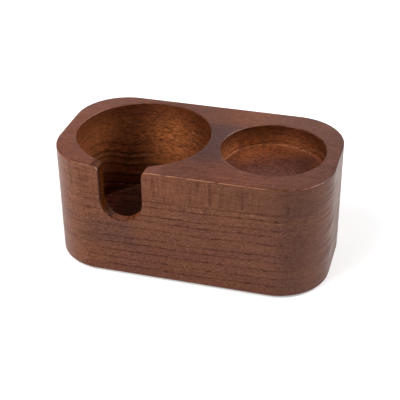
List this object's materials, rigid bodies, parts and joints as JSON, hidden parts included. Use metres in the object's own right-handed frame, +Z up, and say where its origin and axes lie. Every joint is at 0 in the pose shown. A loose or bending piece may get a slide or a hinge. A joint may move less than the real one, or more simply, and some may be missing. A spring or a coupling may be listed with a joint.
{
  "type": "espresso tamping station",
  "caption": "Walnut-stained wooden block with a deep portafilter well, a slot through the front wall for the handle, and a shallow tamper well.",
  "frame": {"origin": "centre of the block in plan, on the surface that the feet stand on", "axes": "+Z up, +X along the length towards the tamper well, the handle slot opens towards -Y"},
  "size_m": [0.165, 0.09, 0.072],
  "materials": {
    "wood": "satin lacquer over a walnut stain, open pores and fine grain along the length",
    "foot_rubber": "matte"
  },
  "bodies": {
    "root": {"block": "wood", "foot_front_left": "foot_rubber", "foot_front_right": "foot_rubber", "foot_rear_left": "foot_rubber", "foot_rear_right": "foot_rubber"}
  },
  "joints": []
}
